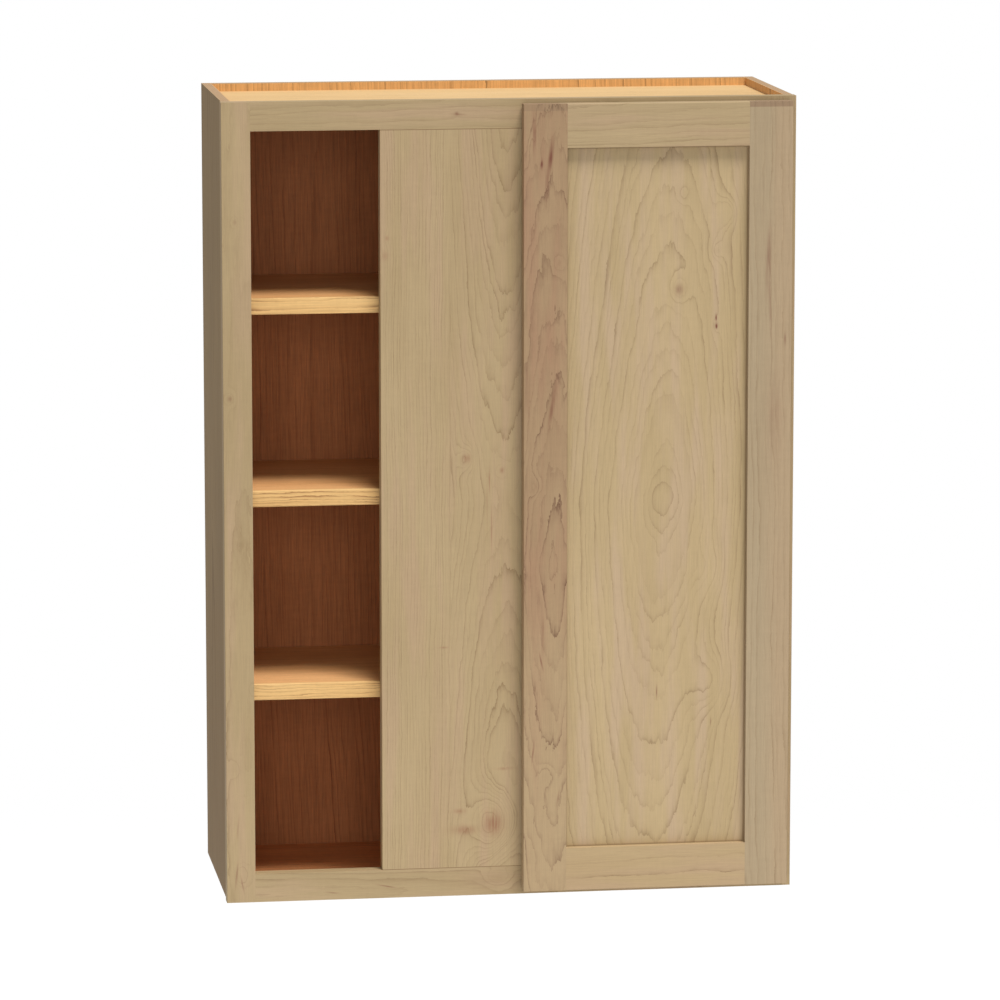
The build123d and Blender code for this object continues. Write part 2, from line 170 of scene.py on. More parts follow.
class Board:
    """Places on one board in millimetres: along its grain, across it, and below its show face."""

    def __init__(self, graph, node, grain, face, seed):
        low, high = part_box(node)
        where = graph.node("ShaderNodeTexCoord", {}).outputs["Object"]
        place = graph.node("ShaderNodeSeparateXYZ", {"Vector": where}).outputs
        depth_axis = AXES[face[1]]
        along_axis = AXES[grain]
        across_axis = 3 - depth_axis - along_axis
        self.graph = graph
        self.seed = seed
        self.length, self.width, self.thickness = (
            (high[axis] - low[axis]) * MM for axis in (along_axis, across_axis, depth_axis)
        )
        self.along = (Term(graph, place[along_axis]) - low[along_axis]) * MM
        self.across = (Term(graph, place[across_axis]) - low[across_axis]) * MM
        inward = Term(graph, place[depth_axis])
        inward = inward - low[depth_axis] if face[0] == "-" else high[depth_axis] - inward
        self.depth = inward * MM

    def noise(self, pattern, size=1.0):
        """One pattern of noise on this board, this many times its usual size."""
        across_size, along_size, detail, roughness = PATTERNS[pattern]
        number = list(PATTERNS).index(pattern) + 1
        shift = self.seed * SEED_STEP_ACROSS + number * PATTERN_STEP_ACROSS
        return self.graph.noise(
            self.across / (across_size * size) + shift,
            self.depth / (across_size * size) + number * PATTERN_STEP_DEPTH,
            self.along / (along_size * size) + self.seed * SEED_STEP_ALONG,
            detail,
            roughness,
        )

    def spot(self, across, along, half_width, half_length, lean=0.0):
        """1 at a place on the board, fading away over these half sizes."""
        up = self.along - along * self.length
        aside = (self.across - across * self.width - up * lean) / half_width
        up = up / half_length
        return self.graph.math("EXPONENT", (aside * aside + up * up) * -1.0)


# What every board's grain has unless the board says otherwise. Lengths are in millimetres,
# and places are shares of the board's width and length.
PLAIN_GRAIN = {
    "light": (0.465, 0.335, 0.187),
    "dark": (0.395, 0.285, 0.152),
    "line": (0.225, 0.142, 0.066),
    "blotch": 0.9,  # how strongly the light and dark tones cloud together
    "spacing": 4.2,  # between growth rings
    "heart": 0.5,  # place across the board of the tree's heart
    "heart_depth": 55.0,  # how far behind the show face the heart lies
    "crown": 0.5,  # place along the board where the face comes nearest the heart's rings
    "taper": 0.0,  # how fast the face runs away from the heart towards the board's far end
    "belly": 0.0,  # how fast it runs away from the heart on both sides of the crown
    "lean": 0.0,  # how far the heart drifts across the board per length along it
    "sway": 14.0,  # how far the rings wander over long stretches
    "ripple": 2.2,  # how far they wander over short ones
    "line_strength": 0.66,
    "line_sharpness": 5.0,  # the higher, the narrower the line at the end of each ring
    "fibre": 0.17,  # contrast between light and dark fibres
    "fibre_width": 1.3,
    "curl": 0.028,  # contrast of the shimmer across the grain
    "flush": None,  # a tone in soft bands along the grain: (colour, strength)
    "knots": (),  # (across, along, radius, ring height, darkness)
    "streaks": (),  # (across, along, half width, half length, lean, strength)
    "flecks": 0.3,  # how dark the short flecks along the fibres are
    "gloss": 0.32,  # specular level of the finish
    "stain": (0.18, 0.062, 0.036),  # colour of streaks and of the hearts of knots
    "seam": None,  # place across the board where a second leaf of veneer starts
    "second_heart": 0.5,  # that leaf's own heart
    "second_heart_depth": 55.0,
    "end_shade": 0.0,  # how dark the glue line is at both ends of the board
    "rim": 0.0,  # how dark the painted shade line is beside the frame that holds the board's edges
    "top_band": None,  # another tone at the board's upper end: (colour, length, strength)
    "wash": None,  # a second tone: (colour, across or along, start, end, strength)
}
CROWN_ROUNDING = 12.0  # millimetres over which rings turn round at the crown
KNOT_STRETCH = 1.5  # a knot's rings are this much longer than wide
KNOT_HEART_WIDTH, KNOT_HEART_LENGTH = 0.42, 0.5  # its dark heart, in shares of its radius
SEAM_SOFTNESS = 0.15
END_SHADE_WIDTH = 1.3  # of the glue line at a board's ends
PANEL_INSERTION = 8.0  # how far the door panel reaches into the frame's grooves
RIM_SHADE_WIDTH = 3.5  # of the painted shade line beside the frame
BAND_SOFTNESS = 0.4
RELIEF = 0.12  # depth of the relief for a height of 1

# Rings drift closer and further apart, and from darker to lighter wood, over several years.
# Each rate is per ring, with a shift per board that gives each its own years.
CROWDING_RATE, CROWDING_SHIFT, CROWDING = 0.31, 1.7, 1.8
DRIFT_RATE, DRIFT_SHIFT, DRIFT_LAYER, DRIFT = 0.8, 2.3, 4.0, 0.25
YEAR_SHIFT = 9.0
FAINTEST_YEAR, BOLDEST_YEAR = 0.35, 1.25
# Along a ring, its line comes and goes between these strengths.
FAINTEST_STRETCH, BOLDEST_STRETCH = 0.3, 1.0

# Where the noise starts to show each feature, and where it shows it fully.
STRETCH_LIMITS = (-0.4, 0.4)
FLUSH_LIMITS = (-0.15, 0.35)
FLECK_LIMITS = (0.38, 0.60)
WASH_WANDER = 0.25  # how raggedly a wash starts
RAGGED_DEPTH, RAGGED_LEVEL = 0.9, 0.8  # how raggedly stain follows the fibres
BAND_LINE = 0.8  # how dark ring lines are in the band at a board's upper end

# Relief and roughness: what fibres, ring lines and flecks add.
FIBRE_RISE, LINE_DIP, FLECK_DIP = 0.6, 1.2, 1.5
WOOD_ROUGHNESS, FIBRE_ROUGHNESS, LINE_ROUGHNESS = 0.56, 0.12, 0.15


def ring_distance(board, grain):
    """Distance from the tree's heart, in millimetres. Its level lines are the growth rings."""
    graph = board.graph
    heart, heart_depth = grain["heart"] * board.width, grain["heart_depth"]
    if grain["seam"] is not None:
        seam = grain["seam"] * board.width
        leaf = graph.rise(board.across, seam - SEAM_SOFTNESS, seam + SEAM_SOFTNESS)
        heart = leaf * (grain["second_heart"] * board.width - heart) + heart
        heart_depth = leaf * (grain["second_heart_depth"] - heart_depth) + heart_depth
    up = board.along - grain["crown"] * board.length
    rounded = graph.math("SQRT", up * up + CROWN_ROUNDING**2) - CROWN_ROUNDING
    below = up * grain["taper"] + rounded * grain["belly"] + heart_depth - board.depth
    aside = board.across - heart + up * grain["lean"]
    aside = aside + board.noise("sway") * grain["sway"]
    distance = graph.math("SQRT", aside * aside + below * below)
    distance = distance + board.noise("ripple") * grain["ripple"]
    for across, along, radius, height, _ in grain["knots"]:
        bump = board.spot(across, along, radius, radius * KNOT_STRETCH)
        distance = distance + bump * height
    return distance


def between(share, low, high):
    """From low at a share of 0 to high at a share of 1."""
    return share * (high - low) + low


def ring_lines(board, grain):
    """Darkness of the ring lines, and a drift between lighter and darker years."""
    graph = board.graph
    rings = ring_distance(board, grain) / grain["spacing"]
    crowding = graph.noise(rings * CROWDING_RATE, board.seed * CROWDING_SHIFT, 0.0)
    rings = rings + crowding * CROWDING
    late = graph.math("FRACT", rings) ** grain["line_sharpness"]
    drift = graph.noise(rings * DRIFT_RATE, board.seed * DRIFT_SHIFT, DRIFT_LAYER)
    stretch = graph.rise(board.noise("presence"), *STRETCH_LIMITS)
    stretch = between(stretch, FAINTEST_STRETCH, BOLDEST_STRETCH)
    year = graph.chance(graph.math("FLOOR", rings) + board.seed * YEAR_SHIFT)
    year = between(year, FAINTEST_YEAR, BOLDEST_YEAR)
    return late * stretch * year * grain["line_strength"], drift


def ground_tone(board, grain, drift):
    """The wood's colour between its ring lines."""
    graph = board.graph
    cloud = board.noise("cloud") * grain["blotch"] + drift * DRIFT + 0.5
    colour = graph.mix(cloud, grain["dark"], grain["light"])
    if grain["flush"] is not None:
        tone, strength = grain["flush"]
        bands = graph.rise(board.noise("flush"), *FLUSH_LIMITS)
        colour = graph.mix(bands * strength, colour, tone)
    if grain["wash"] is not None:
        tone, way, start, end, strength = grain["wash"]
        reach = board.across / board.width if way == "across" else board.along / board.length
        reach = reach + board.noise("wash") * WASH_WANDER
        colour = graph.mix(graph.rise(reach, start, end) * strength, colour, tone)
    return colour


def add_stains(board, grain, colour):
    """Mineral streaks and the dark hearts of knots."""
    graph = board.graph
    ragged = board.noise("ragged") * RAGGED_DEPTH + RAGGED_LEVEL
    for across, along, half_width, half_length, lean, strength in grain["streaks"]:
        streak = board.spot(across, along, half_width, half_length, lean) * ragged
        colour = graph.mix(streak * strength, colour, grain["stain"])
    for across, along, radius, _, darkness in grain["knots"]:
        half_width, half_length = radius * KNOT_HEART_WIDTH, radius * KNOT_HEART_LENGTH
        heart = board.spot(across, along, half_width, half_length) * ragged
        colour = graph.mix(heart * darkness, colour, grain["stain"])
    return colour


def distance_in(graph, place, size):
    """Distance from the nearer end of a stretch of this size."""
    return size / 2 - graph.math("ABSOLUTE", place - size / 2)


def add_edge_lines(board, grain, colour):
    """The glue line at a board's ends, and a painted shade line where a panel enters its frame."""
    graph = board.graph
    along_in = distance_in(graph, board.along, board.length)
    if grain["end_shade"]:
        near_end = graph.rise(along_in, END_SHADE_WIDTH, END_SHADE_WIDTH / 3)
        colour = graph.mix(near_end * grain["end_shade"], colour, grain["line"])
    # Painted shade: a dark line on the panel beside the frame, where the frame shades it.
    if grain["rim"]:
        inner = PANEL_INSERTION + RIM_SHADE_WIDTH
        across_in = distance_in(graph, board.across, board.width)
        rim = graph.rise(graph.math("MINIMUM", across_in, along_in), inner, inner - RIM_SHADE_WIDTH)
        colour = graph.mix(rim * grain["rim"], colour, grain["line"])
    return colour


def wood_tones(board, grain):
    """Colour, relief height and roughness over one board."""
    graph = board.graph
    line, drift = ring_lines(board, grain)
    fibre = board.noise("fibre", grain["fibre_width"])
    shade = fibre * grain["fibre"] + board.noise("curl") * grain["curl"] + 1.0
    colour = graph.scale(ground_tone(board, grain, drift), shade)
    colour = graph.mix(line, colour, grain["line"])
    fleck = graph.rise(board.noise("fleck"), *FLECK_LIMITS) * grain["flecks"]
    colour = graph.mix(fleck, colour, grain["line"])
    colour = add_stains(board, grain, colour)
    colour = add_edge_lines(board, grain, colour)
    if grain["top_band"] is not None:
        tone, band_length, strength = grain["top_band"]
        start = board.length - band_length
        band = graph.rise(board.along, start - BAND_SOFTNESS, start + BAND_SOFTNESS) * strength
        colour = graph.mix(band, colour, graph.scale(tone, shade - line * BAND_LINE))
    height = fibre * FIBRE_RISE - line * LINE_DIP - fleck * FLECK_DIP
    roughness = fibre * FIBRE_ROUGHNESS + line * LINE_ROUGHNESS + WOOD_ROUGHNESS
    return colour, height, roughness


def solid_wood(node, grain_axis, face, seed, **changes):
    """Gives a CAD node a board of solid maple."""
    grain = {**PLAIN_GRAIN, **changes}
    graph = Graph(node + "_maple")
    board = Board(graph, node, grain_axis, face, seed)
    colour, height, roughness = wood_tones(board, grain)
    gloss = {"Specular IOR Level": grain["gloss"]}
    dress(node, graph.finish(colour, roughness, height, RELIEF, **gloss))


SKIN = 0.6  # face veneer
SKIN_SOFTNESS = 0.05
MIDDLE_SOFTNESS = 0.1
PLY_LONG = (0.50, 0.335, 0.185)  # a layer whose grain runs along the edge
PLY_END = (0.36, 0.215, 0.11)  # a layer that shows its end grain
LONG_CONTRAST, END_CONTRAST = 0.25, 0.45
GLUE = (0.20, 0.11, 0.055)
GLUE_LIMITS = (0.44, 0.5)  # distance from a layer's middle, in layers
GLUE_STRENGTH = 0.6


def ply_layers(board, plies):
    """Colour of the layers that show at a sheet's edges."""
    graph = board.graph
    layer = (board.depth - SKIN) / ((board.thickness - 2 * SKIN) / plies)
    turned = graph.math("MODULO", graph.math("FLOOR", layer), 2.0)
    end_tone = graph.scale(PLY_END, board.noise("speckle") * END_CONTRAST + 1.0)
    long_tone = graph.scale(PLY_LONG, board.noise("drawn") * LONG_CONTRAST + 1.0)
    from_middle = graph.math("ABSOLUTE", graph.math("FRACT", layer) - 0.5)
    glue = graph.rise(from_middle, *GLUE_LIMITS) * GLUE_STRENGTH
    return graph.mix(glue, graph.mix(turned, long_tone, end_tone), GLUE)


def plywood(node, grain_axis, face, seed, plies, back_tones=None, **changes):
    """Gives a CAD node veneered plywood: grain on both faces, and its layers at the edges."""
    grain = {**PLAIN_GRAIN, **changes}
    graph = Graph(node + "_ply")
    board = Board(graph, node, grain_axis, face, seed)
    colour, height, roughness = wood_tones(board, grain)
    if back_tones is not None:
        back, _, _ = wood_tones(board, {**grain, **back_tones})
        middle = board.thickness / 2
        behind = graph.rise(board.depth, middle - MIDDLE_SOFTNESS, middle + MIDDLE_SOFTNESS)
        colour = graph.mix(behind, colour, back)
    below_face = graph.rise(board.depth, SKIN - SKIN_SOFTNESS, SKIN)
    back_skin = board.thickness - SKIN
    above_back = graph.rise(board.depth, back_skin + SKIN_SOFTNESS, back_skin)
    colour = graph.mix(below_face * above_back, colour, ply_layers(board, plies))
    gloss = {"Specular IOR Level": grain["gloss"]}
    dress(node, graph.finish(colour, roughness, height, RELIEF, **gloss))


def dress(node, material):
    """Puts a material on a CAD node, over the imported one."""
    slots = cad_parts[node].data.materials
    slots.clear()
    slots.append(material)


WELD_DISTANCE = 0.01
SHARP_ANGLE = 50.0  # in degrees; gentler edges stay as they are
STILE_SANDING, RAIL_SANDING, SHEET_SANDING = 0.35, 0.3, 0.4  # width of the broken edges


def soften_edges(node, width_mm):
    """Breaks a board's sharp edges by a fraction of a millimetre, as sanding does."""
    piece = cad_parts[node]
    weld = piece.modifiers.new("weld", "WELD")
    weld.merge_threshold = WELD_DISTANCE / MM
    bevel = piece.modifiers.new("sanded_edges", "BEVEL")
    bevel.width = width_mm / MM
    bevel.segments = 2
    bevel.limit_method = "ANGLE"
    bevel.angle_limit = math.radians(SHARP_ANGLE)


# ---- Face frame ----
PINK_FLUSH = ((0.45, 0.308, 0.189), 0.6)
TAN = {"light": (0.427, 0.315, 0.17), "dark": (0.364, 0.262, 0.135), "flush": PINK_FLUSH}
solid_wood(
    "frame_left_stile", "Z", "-Y", seed=1.0, **TAN,
    heart=0.7, heart_depth=60.0, crown=0.2, taper=0.004, belly=0.015, spacing=6.0, ripple=4.0,
    line_strength=0.5,
    knots=(
        (0.23, 0.635, 7.0, 9.0, 0.45),
        (0.45, 0.853, 6.0, 6.0, 0.25),
        (0.50, 0.035, 9.0, -14.0, 0.0),
        (0.95, 0.27, 6.0, 9.0, 0.0),
        (0.30, 0.17, 8.0, 9.0, 0.0),
    ),
    streaks=(
        (0.35, 0.035, 1.3, 16.0, 0.1, 0.60),
        (0.55, 0.022, 1.0, 9.0, -0.2, 0.60),
        (0.40, 0.095, 1.2, 14.0, 0.1, 0.35),
    ),
)
solid_wood(
    "frame_right_stile", "Z", "-Y", seed=2.0, **TAN,
    heart=-0.6, heart_depth=40.0, taper=0.01,
)
solid_wood(
    "frame_top_rail", "X", "-Y", seed=3.0, **TAN,
    heart=1.1, heart_depth=30.0, taper=0.02, spacing=5.5, ripple=3.0, line_strength=0.5,
    knots=((0.52, 0.396, 5.0, 4.0, 0.75),),
    streaks=((0.5, 0.400, 1.2, 9.0, -0.1, 0.4),),
)
solid_wood(
    "frame_bottom_rail", "X", "-Y", seed=4.0, **TAN,
    heart=0.3, heart_depth=36.0, taper=0.022, spacing=5.5, ripple=3.0,
    knots=((0.60, 0.475, 12.0, 16.0, 0.0),),
    streaks=(
        (0.42, 0.256, 0.9, 12.0, -0.2, 0.70),
        (0.25, 0.150, 0.9, 7.0, -0.1, 0.60),
        (0.5, 0.46, 14.0, 55.0, 0.0, 0.16),
    ),
)
solid_wood(
    "blind_panel", "Z", "-Y", seed=5.0,
    light=(0.455, 0.337, 0.187), dark=(0.395, 0.285, 0.148), flush=PINK_FLUSH,
    heart=-1.3, heart_depth=20.0, seam=0.428, second_heart=0.775, second_heart_depth=84.0,
    crown=0.50, belly=-0.10, spacing=4.2, sway=9.0, ripple=3.2, curl=0.035, line_strength=0.75,
    stain=(0.27, 0.115, 0.06),
    knots=(
        (0.69, 0.06, 29.0, 44.0, 0.85),
        (0.527, 0.559, 11.0, 14.0, 0.55),
        (0.741, 0.542, 7.0, 7.0, 0.50),
        (0.042, 0.856, 6.0, 4.0, 0.50),
    ),
    streaks=(
        (0.505, 0.052, 16.0, 6.0, 0.0, 0.60),
        (0.48, 0.078, 8.0, 3.0, 0.0, 0.55),
        (0.665, 0.530, 0.9, 14.0, 0.0, 0.85),
        (0.678, 0.464, 0.8, 22.0, 0.0, 0.65),
        (0.650, 0.500, 0.7, 30.0, 0.0, 0.45),
        (0.383, 0.303, 5.0, 1.2, 0.0, 0.55),
        (0.76, 0.135, 10.0, 2.0, 0.6, 0.45),
        (0.03, 0.832, 4.0, 6.0, 0.0, 0.35),
    ),
    end_shade=1.0,
)

# ---- Door ----
REDDISH = {"light": (0.40, 0.272, 0.15), "dark": (0.335, 0.215, 0.117)}
solid_wood(
    "door_left_stile", "Z", "-Y", seed=6.0, **REDDISH,
    heart=0.66, heart_depth=34.0, crown=0.42, belly=0.09, spacing=4.6,
    ripple=5.4, sway=14.0, curl=0.04, line_strength=1.0, flush=((0.36, 0.205, 0.12), 0.7),
    line=(0.165, 0.085, 0.047),
    wash=((0.435, 0.315, 0.175), "along", 0.52, 0.05, 0.75),
    knots=(
        (0.80, 0.80, 9.0, 8.0, 0.10),
        (0.30, 0.52, 9.0, 9.0, 0.10),
        (0.55, 0.15, 10.0, 7.0, 0.0),
    ),
    streaks=(
        (0.62, 0.935, 2.6, 20.0, 0.10, 1.20),
        (0.54, 0.905, 2.4, 22.0, 0.05, 0.75),
        (0.24, 0.965, 2.2, 26.0, 0.0, 0.60),
        (0.41, 0.925, 1.5, 5.0, 0.0, 1.2),
        (0.40, 0.955, 6.0, 60.0, 0.0, 0.14),
        (0.66, 0.622, 3.2, 28.0, 0.17, 0.70),
        (0.10, 0.640, 4.0, 34.0, 0.0, 0.38),
        (0.41, 0.296, 1.0, 9.0, -0.2, 1.0),
        (0.45, 0.330, 2.0, 22.0, 0.0, 0.40),
        (0.22, 0.180, 1.0, 12.0, 0.1, 0.60),
        (0.80, 0.120, 0.9, 10.0, 0.15, 0.60),
    ),
    top_band=((0.285, 0.185, 0.105), 9.0, 0.55),
)
solid_wood(
    "door_right_stile", "Z", "-Y", seed=7.0,
    light=(0.412, 0.317, 0.197), dark=(0.376, 0.28, 0.169),
    heart=1.5, heart_depth=30.0, taper=-0.018, spacing=8.0, ripple=4.6, curl=0.035,
    line_strength=0.6,
    wash=((0.427, 0.305, 0.184), "across", 0.25, 0.80, 0.75),
    streaks=(
        (0.455, 0.800, 3.4, 38.0, 0.02, 0.55),
        (0.50, 0.74, 1.6, 34.0, -0.03, 0.35),
        (0.62, 0.600, 10.0, 52.0, -0.02, 0.22),
        (0.85, 0.700, 1.2, 8.0, 0.0, 0.50),
    ),
    top_band=((0.29, 0.185, 0.11), 7.0, 0.80),
)
solid_wood(
    "door_top_rail", "X", "-Y", seed=8.0,
    light=(0.46, 0.34, 0.19), dark=(0.39, 0.285, 0.152), flush=PINK_FLUSH,
    heart=1.2, heart_depth=36.0, taper=0.03, spacing=5.5, ripple=3.4, line_strength=0.5,
)
solid_wood(
    "door_bottom_rail", "X", "-Y", seed=9.0,
    light=(0.46, 0.335, 0.18), dark=(0.41, 0.285, 0.15),
    heart=1.7, heart_depth=24.0, crown=0.3, taper=0.01, spacing=22.0, ripple=9.0, sway=26.0,
    line_strength=0.7, line_sharpness=14.0, flush=PINK_FLUSH,
)
solid_wood(
    "door_panel", "Z", "-Y", seed=10.0,
    light=(0.50, 0.37, 0.203), dark=(0.43, 0.315, 0.163), flush=((0.49, 0.355, 0.225), 0.8),
    heart=0.53, heart_depth=32.5, crown=0.50, belly=0.14, lean=-0.03, spacing=6.0,
    sway=9.0, ripple=4.4, line_strength=0.62,
    knots=(
        (0.53, 0.50, 18.0, -9.0, 0.0),
        (0.615, 0.792, 14.0, 18.0, 0.50),
        (0.633, 0.925, 9.0, 9.0, 0.05),
        (0.807, 0.742, 7.0, 7.0, 0.35),
        (0.808, 0.845, 10.0, 10.0, 0.05),
        (0.87, 0.90, 14.0, -16.0, 0.0),
        (0.80, 0.24, 26.0, -24.0, 0.0),
        (0.78, 0.40, 20.0, -12.0, 0.0),
    ),
    streaks=(
        (0.807, 0.752, 1.1, 4.0, 0.0, 1.2),
        (0.809, 0.740, 1.3, 3.0, 0.0, 1.2),
        (0.507, 0.227, 0.9, 8.0, 0.0, 0.90),
        (0.791, 0.182, 0.8, 5.0, 0.0, 0.70),
        (0.44, 0.30, 22.0, 150.0, 0.0, 0.06),
    ),
    # Painted shade line along the frame's inner edges.
    rim=0.80,
)

# ---- Shelves ----
# Painted shade: faces inside the case get a darker, redder copy of the maple, which stands in for
# the shade inside it. The shelf tops and the deck face the light and get lighter copies, painted as
# lit.
SHADED_INTERIOR = {
    "light": (0.525, 0.205, 0.077),
    "dark": (0.39, 0.139, 0.047),
    "line": (0.21, 0.06, 0.02),
    "fibre": 0.50,
    "fibre_width": 1.7,
    "curl": 0.09,
    "gloss": 0.14,
    "line_strength": 0.7,
    "spacing": 5.0,
}
LIT_SHELF_TOP = {
    **SHADED_INTERIOR,
    "light": (0.74, 0.41, 0.178),
    "dark": (0.61, 0.31, 0.118),
    "fibre": 0.34,
    "curl": 0.04,
}
LIT_DECK = {**SHADED_INTERIOR, "light": (0.75, 0.325, 0.13), "dark": (0.595, 0.237, 0.087)}
EDGE = {
    "light": (0.80, 0.52, 0.22),
    "dark": (0.66, 0.39, 0.14),
    "line": (0.30, 0.13, 0.045),
    "stain": (0.34, 0.14, 0.05),
    "fibre": 0.30,
    "fibre_width": 1.8,
    "line_strength": 1.2,
    "line_sharpness": 4.0,
}
for place, (shelf, heart) in enumerate((("upper", 2.2), ("middle", -1.3), ("lower", 1.9))):
    plywood(
        "shelf_" + shelf, "X", "+Z", seed=20.0 + place, plies=13, **LIT_SHELF_TOP,
        heart=1.2, heart_depth=60.0,
    )
    solid_wood(
        "shelf_" + shelf + "_edge", "X", "-Y", seed=25.0 + place, **EDGE,
        heart=heart, heart_depth=16.0, taper=0.03, spacing=5.0, ripple=4.4, curl=0.06,
    )

# ---- Case ----
# Painted shade: the outer faces get a darker tone than the front's maple, which stands in for the
# shade on the side turned from the light. Its wash darkens the sides further towards the bottom.
SHADED_OUTER_SIDE = {
    "light": (0.325, 0.213, 0.091),
    "dark": (0.27, 0.174, 0.073),
    "line": (0.15, 0.088, 0.036),
    "heart": 0.6,
    "wash": ((0.252, 0.151, 0.054), "along", 0.65, 0.0, 0.95),
}
# The inner faces get the painted shade tone below the top panel, and a lighter painted band above
# it, where light falls.
LIT_BAND_ABOVE_TOP_PANEL = ((0.66, 0.36, 0.135), (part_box("back_panel")[1].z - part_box("top_panel")[1].z) * MM, 1.0)
for seed, (side, face) in enumerate((("left_side", "-X"), ("right_side", "+X")), start=30):
    plywood(
        side, "Z", face, seed=float(seed), plies=9, **SHADED_OUTER_SIDE,
        back_tones={**SHADED_INTERIOR, "heart": 0.3, "top_band": LIT_BAND_ABOVE_TOP_PANEL, "wash": None},
        heart_depth=90.0, taper=0.02, spacing=6.0,
    )
plywood(
    "top_panel", "X", "+Z", seed=32.0, plies=9, back_tones=SHADED_INTERIOR,
    light=(0.73, 0.495, 0.238), dark=(0.655, 0.42, 0.182), heart=0.4, heart_depth=80.0,
)
plywood(
    "bottom_panel", "X", "+Z", seed=33.0, plies=9, back_tones=SHADED_OUTER_SIDE, **LIT_DECK, heart=0.3,
)
plywood(
    "back_panel", "Z", "-Y", seed=34.0, plies=3, back_tones=PLAIN_GRAIN,
    **{**SHADED_INTERIOR, "spacing": 6.5},
    heart=0.25, heart_depth=70.0, taper=0.03, lean=0.05, seam=0.21, second_heart=0.6,
    second_heart_depth=90.0, top_band=LIT_BAND_ABOVE_TOP_PANEL,
)
for seed, rail in enumerate(("top_hanging_rail", "bottom_hanging_rail"), start=36):
    plywood(rail, "X", "+Y", seed=float(seed), plies=9, **SHADED_OUTER_SIDE)
solid_wood(
    "frame_dowels", "X", "-Y", seed=40.0, light=(0.52, 0.34, 0.18), dark=(0.44, 0.27, 0.13),
    flecks=0.6, spacing=2.5,
)

for joinery in ("frame", "door"):
    for stile in ("left_stile", "right_stile"):
        soften_edges(joinery + "_" + stile, STILE_SANDING)
    for rail in ("top_rail", "bottom_rail"):
        soften_edges(joinery + "_" + rail, RAIL_SANDING)
for node in ("blind_panel", "shelf_upper", "shelf_middle", "shelf_lower"):
    soften_edges(node, SHEET_SANDING)


# ---- Metal, rubber and plastic ----
# Sizes of their marks, in millimetres.
ROLL_MARK, ROLL_STRETCH = 0.25, 24.0
SMUDGE = 9.0
PIT, PIT_LIMITS = 0.5, (0.45, 0.6)
DIRT = 5.0
STEEL_RELIEF = 0.02
PEBBLE_RELIEF = 0.05
# How bright smudged, pitted and dirty places are, as shares of the clean tone.
SMUDGED, PITTED, DIRTY = 0.82, 0.45, 0.75
PIT_STRENGTH = 0.5
ROLLED_HEIGHT = 0.5
# What each mark adds to the roughness.
ROLLED_ROUGHNESS, SMUDGED_ROUGHNESS, PEBBLE_ROUGHNESS = 0.08, 0.10, 0.1


def darker(tone, factor):
    """A colour times a factor."""
    return tuple(factor * part for part in tone)


def surface_place(graph, size_mm, stretch=(1.0, 1.0, 1.0)):
    """Object coordinates as three terms, in units of a feature size."""
    where = graph.node("ShaderNodeTexCoord", {}).outputs["Object"]
    place = graph.node("ShaderNodeSeparateXYZ", {"Vector": where}).outputs
    return [Term(graph, place[axis]) * (MM / size_mm / stretch[axis]) for axis in range(3)]


def plated_steel(name, tone, roughness):
    """Bright plated steel with rolling marks, handling smudges and small pits."""
    graph = Graph(name)
    rolled = graph.noise(*surface_place(graph, ROLL_MARK, (1.0, 1.0, ROLL_STRETCH)), detail=3.0)
    smudge = graph.noise(*surface_place(graph, SMUDGE), detail=3.0)
    pit = graph.rise(graph.noise(*surface_place(graph, PIT)), *PIT_LIMITS)
    worn = graph.mix(smudge * 0.5 + 0.5, darker(tone, SMUDGED), tone)
    colour = graph.mix(pit * PIT_STRENGTH, worn, darker(tone, PITTED))
    finish = rolled * ROLLED_ROUGHNESS + smudge * SMUDGED_ROUGHNESS + roughness
    height = rolled * ROLLED_HEIGHT - pit
    return graph.finish(colour, finish, height, STEEL_RELIEF, Metallic=1.0)


def soft_plastic(name, tone, grain_mm, roughness):
    """Rubber or plastic with a pebbled skin and a little dirt."""
    graph = Graph(name)
    pebble = graph.noise(*surface_place(graph, grain_mm), detail=3.0)
    dirt = graph.noise(*surface_place(graph, DIRT), detail=2.0)
    colour = graph.mix(dirt * 0.5 + 0.5, darker(tone, DIRTY), tone)
    return graph.finish(colour, pebble * PEBBLE_ROUGHNESS + roughness, pebble, PEBBLE_RELIEF)


hinge_steel = plated_steel("nickel_plate", (0.66, 0.64, 0.60), roughness=0.30)
screw_steel = plated_steel("zinc_plate", (0.58, 0.58, 0.56), roughness=0.36)
pin_steel = plated_steel("ground_steel", (0.60, 0.60, 0.60), roughness=0.26)
for node in ("hinge_plates", "hinge_arms", "hinge_cups"):
    dress(node, hinge_steel)
for node in ("hinge_plate_screws", "hinge_cup_screws", "hinge_adjusters"):
    dress(node, screw_steel)
for node in ("shelf_pins", "hinge_pins"):
    dress(node, pin_steel)
rubber = soft_plastic("spacer_rubber", (0.16, 0.14, 0.12), grain_mm=0.6, roughness=0.82)
dress("door_panel_spacers", rubber)
clear_plastic = soft_plastic("clear_bumper", (0.72, 0.71, 0.66), grain_mm=1.4, roughness=0.38)
dress("door_bumpers", clear_plastic)


# ---- Studio ----
KEY_ELEVATION, KEY_RIGHTWARD = math.radians(67.0), math.radians(25.0)
KEY_STRENGTH = 3.2
KEY_SOFTNESS = math.radians(20.0)  # how wide the light looks, which blurs its shadows
FILL_PLACE = (-0.8, -6.5, 0.6)
FILL_WIDTH, FILL_HEIGHT = 2.4, 3.0
FILL_POWER = 66.0
AMBIENT_STRENGTH, AMBIENT_COLOUR = 0.40, (1.0, 0.985, 0.96, 1.0)
WHITE = (1.0, 1.0, 1.0, 1.0)


